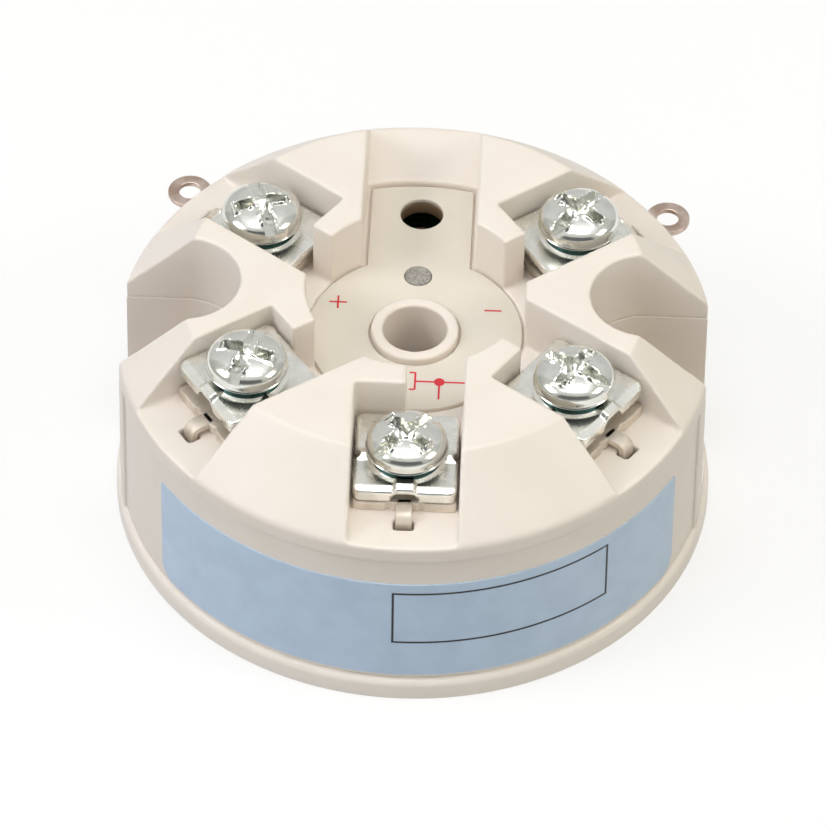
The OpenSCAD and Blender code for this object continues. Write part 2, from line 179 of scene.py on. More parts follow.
def board_material():
    """Green solder mask over a fine glass weave, with paler tracks showing through."""
    material = bpy.data.materials.new("green solder mask")
    material.use_nodes = True
    tree = material.node_tree
    shader = tree.nodes["Principled BSDF"]
    shader.inputs["Roughness"].default_value = 0.35
    shader.inputs["Specular IOR Level"].default_value = 0.5
    place = tree.nodes.new("ShaderNodeTexCoord")
    tracks = tree.nodes.new("ShaderNodeTexBrick")
    tracks.inputs["Scale"].default_value = 420
    tracks.inputs["Color1"].default_value = (0.012, 0.11, 0.045, 1)
    tracks.inputs["Color2"].default_value = (0.016, 0.14, 0.06, 1)
    tracks.inputs["Mortar"].default_value = (0.03, 0.22, 0.1, 1)
    tracks.inputs["Mortar Size"].default_value = 0.06
    weave = tree.nodes.new("ShaderNodeTexChecker")
    weave.inputs["Scale"].default_value = weave_scale
    bump = tree.nodes.new("ShaderNodeBump")
    bump.inputs["Strength"].default_value = 0.15
    bump.inputs["Distance"].default_value = weave_depth
    tree.links.new(place.outputs["Object"], tracks.inputs["Vector"])
    tree.links.new(place.outputs["Object"], weave.inputs["Vector"])
    tree.links.new(tracks.outputs["Color"], shader.inputs["Base Color"])
    tree.links.new(weave.outputs["Fac"], bump.inputs["Height"])
    tree.links.new(bump.outputs["Normal"], shader.inputs["Normal"])
    return material


def dress(node, material):
    """Gives a node that keeps its own shape its material."""
    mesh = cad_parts[node].data
    mesh.materials.clear()
    mesh.materials.append(material)


dress("circuit_board", board_material())
component_finishes = [
    (("microcontroller", "converter_chip", "output_transistor"),
     ("black mould resin", (0.028, 0.028, 0.03), (0.02, 0.02, 0.022), 0.55)),
    (("capacitors",), ("tan capacitor ceramic", (0.42, 0.28, 0.14), (0.36, 0.23, 0.11), 0.5)),
    (("resistors",), ("black resistor glaze", (0.02, 0.02, 0.024), (0.015, 0.015, 0.018), 0.3)),
    (("switch_body",), ("black switch housing", (0.05, 0.045, 0.04), (0.04, 0.035, 0.03), 0.5)),
    (("push_button",), ("brown button", (0.16, 0.08, 0.045), (0.12, 0.06, 0.035), 0.45)),
    (("status_led",), ("white indicator body", (0.8, 0.78, 0.72), (0.74, 0.7, 0.62), 0.3)),
]
for nodes, finish in component_finishes:
    material = moulded_plastic(*finish)
    for node in nodes:
        dress(node, material)

# Threaded bushes
# Turned brass bushes that carry each terminal and lead it down to the board.
# Their lower ends stand on the board and are soldered to it.

metal_cloud_scale = 700
mark_depth = 0.03 * mm


def plated_metal(name, bright, dull, roughness, streaks, metallic=1.0):
    """Plated metal with cloudy dulling and fine drawing marks; matt tin is less than metallic."""
    material = bpy.data.materials.new(name)
    material.use_nodes = True
    tree = material.node_tree
    shader = tree.nodes["Principled BSDF"]
    shader.inputs["Metallic"].default_value = metallic
    place = tree.nodes.new("ShaderNodeTexCoord")
    clouds = tree.nodes.new("ShaderNodeTexNoise")
    clouds.inputs["Scale"].default_value = metal_cloud_scale
    clouds.inputs["Detail"].default_value = 5
    tint = tree.nodes.new("ShaderNodeValToRGB")
    tint.color_ramp.elements[0].position = 0.38
    tint.color_ramp.elements[0].color = (*dull, 1)
    tint.color_ramp.elements[1].position = 0.6
    tint.color_ramp.elements[1].color = (*bright, 1)
    gloss = tree.nodes.new("ShaderNodeMapRange")
    gloss.inputs["To Min"].default_value = roughness + 0.08
    gloss.inputs["To Max"].default_value = roughness - 0.05
    marks = tree.nodes.new("ShaderNodeTexNoise")
    marks.inputs["Scale"].default_value = streaks
    marks.inputs["Detail"].default_value = 3
    bump = tree.nodes.new("ShaderNodeBump")
    bump.inputs["Strength"].default_value = 0.2
    bump.inputs["Distance"].default_value = mark_depth
    tree.links.new(place.outputs["Object"], clouds.inputs["Vector"])
    tree.links.new(place.outputs["Object"], marks.inputs["Vector"])
    tree.links.new(clouds.outputs["Fac"], tint.inputs["Fac"])
    tree.links.new(tint.outputs["Color"], shader.inputs["Base Color"])
    tree.links.new(clouds.outputs["Fac"], gloss.inputs["Value"])
    tree.links.new(gloss.outputs["Result"], shader.inputs["Roughness"])
    tree.links.new(marks.outputs["Fac"], bump.inputs["Height"])
    tree.links.new(bump.outputs["Normal"], shader.inputs["Normal"])
    return material


turned_brass = plated_metal("turned brass", (0.72, 0.5, 0.2), (0.55, 0.36, 0.14), 0.3, 1500)
dress("threaded_bushes", turned_brass)

# Test lugs
# Thin tinned copper stampings round two of the bushes, whose eyes stick out of the side.
# They are gripped between the case and the housing, and their cut edges show the copper.

lug_edge_r = 0.09 * mm
lug_tin = plated_metal("tinned copper", (0.66, 0.54, 0.47), (0.45, 0.33, 0.27), 0.34, 1800)
for side in ("right", "left"):
    lug = rounded_moulding(f"test_lug_{side}", f"lug_{side}", lug_tin, lug_edge_r, 2)
    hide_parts(f"test_lug_{side}")
    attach(lug, "housing")

# Side label
# Printed film with an adhesive back, wrapped round the recess of the case.
# Its lower corners are cut round. The printing is left out, but for a ruled frame.

label_low, label_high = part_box("side_label")
label_inner_r = 21.15 * mm
label_outer_r = 21.27 * mm
label_left = math.radians(-55)
label_right = math.radians(63)
label_corner_r = 1.3 * mm
frame_left = math.radians(-1.8)
frame_right = math.radians(42.5)
frame_foot = 5.6 * mm
frame_head = 10.7 * mm
rule_w = 0.16 * mm
rule_t = 0.015 * mm


def round_the_case(r, along, z):
    """A point at radius r, along radians to the right of the front, at height z."""
    return (r * math.sin(along), -r * math.cos(along), z)


def wrapped_film(name, left, right, foot, head, inner, outer, corner, material, columns):
    """A closed strip of film round the case, with its lower corners cut round."""
    points = []
    faces = []
    rows = 2
    for i in range(columns + 1):
        along = left + (right - left) * i / columns
        reach = min(along - left, right - along) * outer
        lift = 0.0
        if reach < corner:
            lift = corner - math.sqrt(corner**2 - (corner - reach) ** 2)
        for r in (inner, outer):
            for row in range(rows):
                z = foot + lift if row == 0 else head
                points.append(round_the_case(r, along, z))
    step = 2 * rows
    for i in range(columns):
        a = i * step
        b = a + step
        faces.append((a + 2, b + 2, b + 3, a + 3))
        faces.append((a, a + 1, b + 1, b))
        faces.append((a, b, b + 2, a + 2))
        faces.append((a + 1, a + 3, b + 3, b + 1))
    faces.append((0, 2, 3, 1))
    last = columns * step
    faces.append((last, last + 1, last + 3, last + 2))
    mesh = bpy.data.meshes.new(name)
    mesh.from_pydata(points, [], faces)
    mesh.materials.append(material)
    mesh.update()
    smooth_but_for_corners(mesh, corner_angle)
    film = bpy.data.objects.new(name, mesh)
    bpy.context.scene.collection.objects.link(film)
    return film


label_blue = (0.56, 0.70, 0.88)
label_blue_shade = (0.515, 0.65, 0.825)
label_columns = 236
label_film = moulded_plastic("pale blue label film", label_blue, label_blue_shade, 0.38, 420)
label = wrapped_film("wrap_label", label_left, label_right, label_low.z, label_high.z, label_inner_r,
                     label_outer_r, label_corner_r, label_film, label_columns)
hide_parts("side_label")
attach(label, "housing")

label_ink = moulded_plastic("black label ink", (0.025, 0.025, 0.03), (0.02, 0.02, 0.025), 0.4)
frame_ruling = [
    (frame_left, frame_right, frame_foot, frame_foot + rule_w),
    (frame_left, frame_right, frame_head - rule_w, frame_head),
    (frame_left, frame_left + rule_w / label_outer_r, frame_foot + rule_w, frame_head - rule_w),
    (frame_right - rule_w / label_outer_r, frame_right, frame_foot + rule_w, frame_head - rule_w),
]
for number, (left, right, foot, head) in enumerate(frame_ruling):
    columns = max(2, round(math.degrees(right - left) * 2))
    rule = wrapped_film(f"label_rule_{number + 1}", left, right, foot, head, label_outer_r - rule_t,
                        label_outer_r + rule_t, 0.0, label_ink, columns)
    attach(rule, "housing")

# Upper housing
# The ivory moulding that carries everything: deck, wedge-shaped walls, well and sensor tube.
# It snaps into the case by a ring, and the mould leaves all of its edges softly rounded.
# The wall of the hole over the push button is coloured dark brown.

seam_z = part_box("lower_case")[1].z
deck_rise = 1.4 * mm
deck_z = seam_z + deck_rise
kept_share = 0.3
soft_corner_angle = 60


def soft_moulding(node, name, material, grid, rounds):
    """The moulding that stands for a node, remade on a fine grid and rounded at its edges."""
    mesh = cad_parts[node].data.copy()
    mesh.materials.clear()
    mesh.materials.append(material)
    body = bmesh.new()
    body.from_mesh(mesh)
    bmesh.ops.remove_doubles(body, verts=body.verts, dist=same_point)
    body.to_mesh(mesh)
    body.free()
    piece = bpy.data.objects.new(name, mesh)
    bpy.context.scene.collection.objects.link(piece)
    remade = piece.modifiers.new("fine grid", "REMESH")
    remade.mode = "VOXEL"
    remade.voxel_size = grid
    worn = piece.modifiers.new("soft edges", "SMOOTH")
    worn.factor = 0.5
    worn.iterations = rounds
    fewer = piece.modifiers.new("fewer faces", "DECIMATE")
    fewer.ratio = kept_share
    made = bpy.data.meshes.new_from_object(piece.evaluated_get(bpy.context.evaluated_depsgraph_get()))
    piece.modifiers.clear()
    piece.data = made
    made.name = name
    smooth_but_for_corners(made, soft_corner_angle)
    return piece


housing_plastic = moulded_plastic("ivory housing plastic", ivory, ivory_shade)
button_low, button_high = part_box("push_button")
hole_reach = 1.75 * mm
# Dark brown for the moulding round the hole over the push button, within hole_reach of its axis.
hole_wall_brown = (0.26, 0.18, 0.115)
tree = housing_plastic.node_tree
shader = tree.nodes["Principled BSDF"]
plain = shader.inputs["Base Color"].links[0].from_socket
place = tree.nodes.new("ShaderNodeTexCoord")
axes = tree.nodes.new("ShaderNodeSeparateXYZ")
flat = tree.nodes.new("ShaderNodeCombineXYZ")
away = tree.nodes.new("ShaderNodeVectorMath")
away.operation = "DISTANCE"
away.inputs[1].default_value = (0, (button_low.y + button_high.y) / 2, 0)
near = tree.nodes.new("ShaderNodeMath")
near.operation = "LESS_THAN"
near.inputs[1].default_value = hole_reach
hole_wall_tint = tree.nodes.new("ShaderNodeMixRGB")
hole_wall_tint.inputs["Color2"].default_value = (*hole_wall_brown, 1)
tree.links.new(place.outputs["Object"], axes.inputs[0])
tree.links.new(axes.outputs["X"], flat.inputs["X"])
tree.links.new(axes.outputs["Y"], flat.inputs["Y"])
tree.links.new(flat.outputs[0], away.inputs[0])
tree.links.new(away.outputs["Value"], near.inputs[0])
tree.links.new(near.outputs[0], hole_wall_tint.inputs["Fac"])
tree.links.new(plain, hole_wall_tint.inputs["Color1"])
tree.links.new(hole_wall_tint.outputs[0], shader.inputs["Base Color"])
housing_grid = 0.12 * mm
housing_rounds = 7
housing = soft_moulding("upper_housing", "top_moulding", housing_plastic, housing_grid, housing_rounds)
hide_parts("upper_housing")
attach(housing, "housing")

# Terminal plates
# Stamped plates that the wires lie on, each with a tongue curled down into the deck.
# Tinned brass, pressed over the bush; the guillotined front edge shows two small nicks.

terminals = ("front", "front_right", "back_right", "back_left", "front_left")
terminal_turn = {"front": 270, "front_right": 325, "back_right": 36, "back_left": 144, "front_left": 215}
round_r = 2.9 * mm


def stamping(name, hole_r, outline, top, bottom, edge_r, around, across, material):
    """A closed plate round a hole. outline gives its edge for an angle, and top and bottom the
    height at a point; the edge is rounded by edge_r above, and half as much below. The rows of
    the top's faces are round up to round_r."""
    angles = np.linspace(0, 2 * math.pi, around, endpoint=False)
    rim = np.array([outline(a) for a in angles])
    cos, sin = np.cos(angles), np.sin(angles)
    rings = []

    def ring(r, z):
        rings.append(np.stack([r * cos, r * sin, z], axis=1))

    for share in np.linspace(0, 1, across):
        r = np.full(around, hole_r + (round_r - hole_r) * share)
        ring(r, np.array([top(x, y) for x, y in zip(r * cos, r * sin)]))
    for share in np.linspace(0, 1, across // 2)[1:]:
        r = round_r + (rim - edge_r - round_r) * share
        ring(r, np.array([top(x, y) for x, y in zip(r * cos, r * sin)]))
    brow = rings[-1][:, 2]
    for turn in (0.25, 0.5, 0.75, 1.0):
        slope = turn * math.pi / 2
        ring(rim - edge_r + edge_r * math.sin(slope), brow - edge_r * (1 - math.cos(slope)))
    low_r = edge_r * 0.5
    floor = np.array([bottom(x, y) for x, y in zip((rim - low_r) * cos, (rim - low_r) * sin)])
    ring(rim, floor + low_r)
    ring(rim - low_r * 0.3, floor + low_r * 0.3)
    for share in np.linspace(1, 0, across):
        r = hole_r + (rim - low_r - hole_r) * share
        ring(r, np.array([bottom(x, y) for x, y in zip(r * cos, r * sin)]))
    points = np.concatenate(rings)
    faces = []
    count = len(rings)
    for k in range(count):
        here, there = k * around, ((k + 1) % count) * around
        for i in range(around):
            j = (i + 1) % around
            faces.append((here + i, there + i, there + j, here + j))
    mesh = bpy.data.meshes.new(name)
    mesh.from_pydata([tuple(p) for p in points], [], faces)
    mesh.materials.append(material)
    mesh.update()
    return mesh


def rounded_outline(x0, x1, half, corner, bites=()):
    """The distance from the hole to the edge of a rounded rectangle, for any angle.
    bites are round notches in the edge: middle x, middle y and radius."""
    middle = (x0 + x1) / 2
    reach = (x1 - x0) / 2

    def outside(x, y):
        dx = abs(x - middle) - (reach - corner)
        dy = abs(y) - (half - corner)
        gap = math.hypot(max(dx, 0), max(dy, 0)) + min(max(dx, dy), 0) - corner
        for bx, by, br in bites:
            gap = max(gap, br - math.hypot(x - bx, y - by))
        return gap > 0

    def edge(angle):
        near = 0.0
        c, s = math.cos(angle), math.sin(angle)
        step = 0.02 * mm
        while not outside(near * c, near * s):
            near += step
        far, near = near, near - step
        for _ in range(12):
            half_way = (near + far) / 2
            if outside(half_way * c, half_way * s):
                far = half_way
            else:
                near = half_way
        return near

    return edge


def set_in_place(mesh, terminal, x, y, z, turn=0.0):
    """Turns a piece drawn along +X to its terminal's direction and moves it to its place."""
    angle = math.radians(terminal_turn[terminal] + turn)
    c, s = math.cos(angle), math.sin(angle)
    for vertex in mesh.vertices:
        px, py, pz = vertex.co
        vertex.co = (x + c * px - s * py, y + s * px + c * py, z + pz)
    mesh.update()


def add_island(mesh, points, faces):
    """Adds a closed surface to a mesh that already holds one."""
    joined = bmesh.new()
    joined.from_mesh(mesh)
    made = [joined.verts.new(p) for p in points]
    for face in faces:
        joined.faces.new([made[i] for i in face])
    joined.normal_update()
    joined.to_mesh(mesh)
    joined.free()


def smoothstep(x):
    """A soft step from 0 to 1 as x goes from 0 to 1."""
    x = min(max(x, 0.0), 1.0)
    return x * x * (3 - 2 * x)


terminal_r = 14.1 * mm
plate_t = 0.8 * mm
plate_x0, plate_x1 = -3.8 * mm, 3.5 * mm
plate_half = 3.65 * mm
plate_hole_r = 1.5 * mm
plate_corner_r = 0.25 * mm
plate_edge_r = 0.12 * mm
plate_around, plate_rows = 288, 5
tongue_w = 1.15 * mm
tongue_t = 0.5 * mm
tongue_out = 4.92 * mm
tongue_drop = 0.7 * mm
tongue_bend_r = 0.42 * mm
tongue_corner = 0.1 * mm
tongue_root = 0.4 * mm
bend_steps = 10


def tongue():
    """The tongue's points and faces: out from the plate, round a bend and down."""
    centre_line = [(plate_x1 - tongue_root, plate_t - tongue_t / 2, 0.0)]
    bend_x = tongue_out - tongue_t / 2 - tongue_bend_r
    bend_z = plate_t - tongue_t / 2 - tongue_bend_r
    for i in range(bend_steps + 1):
        turn = i / bend_steps * math.pi / 2
        out_x = bend_x + tongue_bend_r * math.sin(turn)
        centre_line.append((out_x, bend_z + tongue_bend_r * math.cos(turn), turn))
    centre_line.append((tongue_out - tongue_t / 2, -tongue_drop, math.pi / 2))
    section = []
    for quarter, (sy, sz) in enumerate(((1, 1), (-1, 1), (-1, -1), (1, -1))):
        for k in range(3):
            angle = quarter * math.pi / 2 + k * math.pi / 4
            y = sy * (tongue_w / 2 - tongue_corner) + tongue_corner * math.cos(angle)
            section.append((y, sz * (tongue_t / 2 - tongue_corner) + tongue_corner * math.sin(angle)))
    points = []
    for x, z, turn in centre_line:
        for sy, sz in section:
            points.append((x + sz * math.sin(turn), sy, z + sz * math.cos(turn)))
    n = len(section)
    faces = []
    for k in range(len(centre_line) - 1):
        for i in range(n):
            j = (i + 1) % n
            faces.append((k * n + i, k * n + j, (k + 1) * n + j, (k + 1) * n + i))
    faces.append(tuple(reversed(range(n))))
    faces.append(tuple((len(centre_line) - 1) * n + i for i in range(n)))
    return points, faces


plate_tin = plated_metal("tinned brass plate", (0.78, 0.71, 0.62), (0.64, 0.56, 0.47), 0.5, 1600, 0.45)
nick_out, nick_y, nick_r = 0.12 * mm, 1.15 * mm, 0.28 * mm
nicks = [(plate_x1 + nick_out, side * nick_y, nick_r) for side in (-1, 1)]
for terminal in terminals:
    edge = rounded_outline(plate_x0, plate_x1, plate_half, plate_corner_r, nicks)
    plate = stamping(f"wire_plate_{terminal}", plate_hole_r, edge, lambda x, y: plate_t, lambda x, y: 0.0,
                     plate_edge_r, plate_around, plate_rows, plate_tin)
    add_island(plate, *tongue())
    smooth_but_for_corners(plate, corner_angle)
    angle = math.radians(terminal_turn[terminal])
    set_in_place(plate, terminal, terminal_r * math.cos(angle), terminal_r * math.sin(angle), deck_z)
    piece = bpy.data.objects.new(f"wire_plate_{terminal}", plate)
    bpy.context.scene.collection.objects.link(piece)
    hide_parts(f"terminal_plate_{terminal}")
    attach(piece, "housing")

# Clamp plates
# Square pressure plates under the screw heads, which press the wires onto the terminals.
# Zinc-plated steel pressings: raised middle, a rib across, notched sides, turned-down edge.

clamp_t = 1.35 * mm
clamp_rim_t = 0.675 * mm
boss_h = 0.42 * mm
boss_top_r = 2.0 * mm
boss_foot_r = 2.9 * mm
# Out to this radius, the plate's top under the head gets the dark greenish zinc below: painted shade.
painted_shade_r = 2.52 * mm
nose_h = 0.26 * mm
nose_half = 0.55 * mm
nose_start = 1.8 * mm
nose_side = 0.35 * mm
arch_h = 0.3 * mm
rib_h = 0.24 * mm
rib_half = 0.62 * mm
roll_start = 0.55 * mm
roll_run = 0.4 * mm
roll_drop = 0.15 * mm
clamp_x0, clamp_x1 = -4.15 * mm, 3.5 * mm
clamp_half = 3.65 * mm
clamp_hole_r = 1.5 * mm
clamp_corner_r = 0.55 * mm
clamp_edge_r = 0.22 * mm
clamp_around, clamp_rows = 288, 24
lip_t = 0.35 * mm
lip_drop = 0.4 * mm
lip_gap = 1.75 * mm
lip_start = 0.2 * mm
lip_run = 0.15 * mm
pressing_corner = 50
bite_y, bite_r = 3.85 * mm, 0.5 * mm
clamp_bites = [(0.0, side * bite_y, bite_r) for side in (-1, 1)]


def nose(x, y):
    """From 0 to 1: the nose that is pressed up over the tongue, out to the outer edge."""
    return smoothstep((x - nose_start) / nose_side) * (1 - smoothstep((abs(y) - nose_half) / nose_side))


def clamp_top(x, y):
    """Pressed up in the middle, with a rib across and a nose, and rolled over at the outer edge."""
    boss = boss_h * (1 - smoothstep((math.hypot(x, y) - boss_top_r) / (boss_foot_r - boss_top_r)))
    rib = rib_h * max(0.0, 1 - abs(x) / rib_half)
    roll = min(max(0.0, (x - clamp_x1 + roll_start) / roll_run), 1.0)
    return clamp_rim_t + max(boss, rib, nose_h * nose(x, y)) - roll_drop * roll


def clamp_bottom(x, y):
    """Flat, but for the arch under the nose and the lips on both sides of it."""
    lip = smoothstep((x - (clamp_x1 - lip_t - lip_start)) / lip_run)
    beside = smoothstep((abs(y) - lip_gap / 2) / lip_run)
    return arch_h * nose(x, y) - lip_drop * lip * beside


zinc = plated_metal("bright zinc plate", (0.92, 0.91, 0.86), (0.78, 0.78, 0.73), 0.26, 1400)
# Dark greenish zinc for under the screw heads. The green tint is the zinc's passivation; its darkness is
# painted shade in the gap under the head.
shade_painted_green_zinc = (0.05, 0.11, 0.10)
shade_painted_green_zinc_dull = (0.03, 0.065, 0.06)
shade_painted_zinc = plated_metal("greenish zinc with painted shade under the head", shade_painted_green_zinc, shade_painted_green_zinc_dull, 0.3, 2200)
for terminal in terminals:
    edge = rounded_outline(clamp_x0, clamp_x1, clamp_half, clamp_corner_r, clamp_bites)
    plate = stamping(f"pressure_plate_{terminal}", clamp_hole_r, edge, clamp_top, clamp_bottom,
                     clamp_edge_r, clamp_around, clamp_rows, zinc)
    plate.materials.append(shade_painted_zinc)
    # The plate's raised top under the head takes the dark greenish zinc: painted shade.
    for face in plate.polygons:
        if face.center.z > clamp_rim_t and math.hypot(face.center.x, face.center.y) < painted_shade_r:
            face.material_index = 1
    smooth_but_for_corners(plate, pressing_corner)
    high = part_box(f"clamp_plate_{terminal}")[1]
    angle = math.radians(terminal_turn[terminal])
    x, y = terminal_r * math.cos(angle), terminal_r * math.sin(angle)
    set_in_place(plate, terminal, x, y, high.z - clamp_t)
    piece = bpy.data.objects.new(f"pressure_plate_{terminal}", plate)
    bpy.context.scene.collection.objects.link(piece)
    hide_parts(f"clamp_plate_{terminal}")
    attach(piece, f"clamp_{terminal}")

# Clamp screws
# M3 screws with a domed head over a thin flange, cold headed in steel and zinc plated.
# Many turns of the driver have raised burrs along the slot and the cross.

dome_r = 2.84 * mm
dome_top = 1.74 * mm
dome_curve = 2.2
head_h = 1.85 * mm
rim_h = 0.62 * mm
thread_l = 6.9 * mm
thread_r = 1.45 * mm
thread_root_r = 1.2 * mm
thread_pitch = 0.5 * mm
thread_around, thread_rows = 40, 8
shank_root = 0.2 * mm
foot_profile = [(2.84, 0.44), (2.84, 0.25), (2.845, 0.215), (2.86, 0.19), (2.91, 0.15),
                (2.93, 0.13), (2.935, 0.11), (2.91, 0.08), (2.8, 0.02), (2.55, 0.0), (2.25, 0.0)]
# Out to this radius, the head's flat underside gets the dark greenish zinc: painted shade in the gap over
# the plate.
head_painted_shade_r = 2.25 * mm
head_around, head_rings = 224, 56
ring_crowding = 1.15
slot_half = 0.43 * mm
wall_lean = 0.05 * mm
recess_floor = head_h - 1.1 * mm
floor_rough_r = 1.5 * mm
floor_rough_run = 0.5 * mm
cross_reach = 1.95 * mm
cross_foot = 0.9 * mm
cross_rise = 0.6 * mm
wall_pull = 0.02 * mm
pit_r = 1.1 * mm
pit_depth = 0.45 * mm
burr_w = 0.26 * mm
burr_h = 0.22 * mm
burr_reach = 2.1 * mm
burr_fade = 0.3 * mm
burr_scale = 1900
chip_scale = 2600
chip_h = 0.07 * mm
screw_corner = 42
driver_turn = {"front": 135, "front_right": 4, "back_right": 17, "back_left": 143, "front_left": 38}


def pulled_to_walls(v):
    """Moves a grid line near a recess wall onto its top or its foot."""
    far = abs(v)
    if slot_half - wall_pull <= far < slot_half + 2 * wall_pull:
        far = slot_half
    elif slot_half - 4 * wall_pull <= far < slot_half - wall_pull:
        far = slot_half - wall_lean
    return math.copysign(far, v)


def dome(r):
    """Height of the head above its underside at a distance from the axis."""
    share = min(r / dome_r, 1.0)
    return rim_h + (dome_top - rim_h) * math.sqrt(max(0.0, 1 - share**dome_curve))


def head_height(x, y, seed):
    """Height of the head's top: the dome, with the recess sunk into it and burrs along it."""
    r = math.hypot(x, y)
    top = dome(r)
    in_slot = abs(y) < slot_half - 0.5 * wall_lean
    in_cross = abs(x) < slot_half - 0.5 * wall_lean and abs(y) < cross_reach
    chips = noise.noise(Vector((x * chip_scale + seed * 5.1, y * chip_scale, seed * 1.7)))
    if in_slot or in_cross:
        floor = recess_floor + chip_h * chips * (1 - smoothstep((r - floor_rough_r) / floor_rough_run))
        if in_cross and not in_slot:
            floor += cross_rise * smoothstep((abs(y) - cross_foot) / (cross_reach - cross_foot))
        if r < pit_r:
            floor -= pit_depth * (1 - r / pit_r)
        return min(floor, top)
    beside_slot = abs(y) - slot_half
    beside_cross = max(abs(x) - slot_half, abs(y) - cross_reach)
    away = min(beside_slot, beside_cross)
    if away > 2 * burr_w or r > burr_reach + burr_fade:
        return top
    ragged = noise.noise(Vector((x * burr_scale + seed * 7.3, y * burr_scale, seed * 3.1)))
    ridge = math.exp(-((away - 0.3 * burr_w) / (0.5 * burr_w)) ** 2)
    tall = burr_h * max(0.0, 0.35 + 1.5 * ragged) + chip_h * chips
    fade = 1 - smoothstep((r - burr_reach) / burr_fade)
    return min(top + fade * ridge * tall, head_h)


def screw_head(seed):
    """The head as a closed surface: top with its recess, rim, flange and flat underside."""
    around = head_around
    points = [(0.0, 0.0, head_height(0.0, 0.0, seed))]
    for k in range(1, head_rings + 1):
        share = k / head_rings
        r = dome_r * (1 - (1 - share) ** ring_crowding)
        for i in range(around):
            angle = 2 * math.pi * i / around
            x = pulled_to_walls(r * math.cos(angle))
            y = pulled_to_walls(r * math.sin(angle))
            points.append((x, y, head_height(x, y, seed)))
    for r, height in foot_profile:
        for i in range(around):
            angle = 2 * math.pi * i / around
            points.append((r * mm * math.cos(angle), r * mm * math.sin(angle), height * mm))
    points.append((0.0, 0.0, 0.0))
    faces = []
    for i in range(around):
        faces.append((0, 1 + i, 1 + (i + 1) % around))
    total = head_rings + len(foot_profile)
    for k in range(total - 1):
        for i in range(around):
            j = (i + 1) % around
            a = 1 + k * around
            faces.append((a + i, a + around + i, a + around + j, a + j))
    last = 1 + (total - 1) * around
    for i in range(around):
        faces.append((last + (i + 1) % around, last + i, len(points) - 1))
    return points, faces


def screw_shank():
    """The thread as a closed surface, from inside the head to its pointed-off end."""
    around = thread_around
    levels = int(thread_l / (thread_pitch / thread_rows))
    points = [(0.0, 0.0, shank_root)]
    for k in range(levels + 1):
        z = shank_root - (thread_l + shank_root) * k / levels
        for i in range(around):
            angle = 2 * math.pi * i / around
            phase = (z / thread_pitch - i / around) % 1.0
            crest = 1 - abs(2 * phase - 1)
            r = thread_root_r + (thread_r - thread_root_r) * smoothstep(crest * 1.3 - 0.15)
            r = min(r, thread_root_r + max(0.0, z + thread_l))
            points.append((r * math.cos(angle), r * math.sin(angle), z))
    points.append((0.0, 0.0, -thread_l))
    faces = []
    for i in range(around):
        faces.append((0, 1 + i, 1 + (i + 1) % around))
    for k in range(levels):
        for i in range(around):
            j = (i + 1) % around
            a = 1 + k * around
            faces.append((a + i, a + around + i, a + around + j, a + j))
    last = 1 + levels * around
    for i in range(around):
        faces.append((last + (i + 1) % around, last + i, len(points) - 1))
    return points, faces


screw_zinc = plated_metal("bright zinc screw", (0.84, 0.84, 0.80), (0.75, 0.76, 0.71), 0.13, 2200)
for number, terminal in enumerate(terminals):
    mesh = bpy.data.meshes.new(f"screw_{terminal}")
    head_points, head_faces = screw_head(number + 1)
    mesh.from_pydata(head_points, [], head_faces)
    mesh.materials.append(screw_zinc)
    mesh.materials.append(shade_painted_zinc)
    # The head's underside takes the dark greenish zinc: painted shade, with the zinc's green passivation
    # tint.
    for face in mesh.polygons:
        if face.center.z < rim_h / 4 and math.hypot(face.center.x, face.center.y) < head_painted_shade_r:
            face.material_index = 1
    add_island(mesh, *screw_shank())
    smooth_but_for_corners(mesh, screw_corner)
    low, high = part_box(f"clamp_screw_{terminal}")
    x, y = (low.x + high.x) / 2, (low.y + high.y) / 2
    set_in_place(mesh, terminal, x, y, high.z - head_h, driver_turn[terminal])
    piece = bpy.data.objects.new(f"terminal_screw_{terminal}", mesh)
    bpy.context.scene.collection.objects.link(piece)
    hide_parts(f"clamp_screw_{terminal}")
    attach(piece, f"screw_{terminal}")

# Face plate
# A thin plate with a printed face, shaped like a keyhole, laid in the well round the tube.
# Its red print marks the sign of two terminals and the sensor that the others take.

face_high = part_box("face_plate")[1]
face_film = moulded_plastic("grey beige face film", (0.79, 0.735, 0.65), (0.76, 0.705, 0.615), 0.5)
face_edge_r = 0.09 * mm
face = rounded_moulding("face_plate", "face_disc", face_film, face_edge_r, 2)
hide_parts("face_plate")
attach(face, "housing")

red_ink = moulded_plastic("red face ink", (0.72, 0.03, 0.05), (0.62, 0.03, 0.045), 0.45)
ink_t = 0.012 * mm
ink_step = 0.002 * mm
line_w = 0.14 * mm
dot_sides = 28


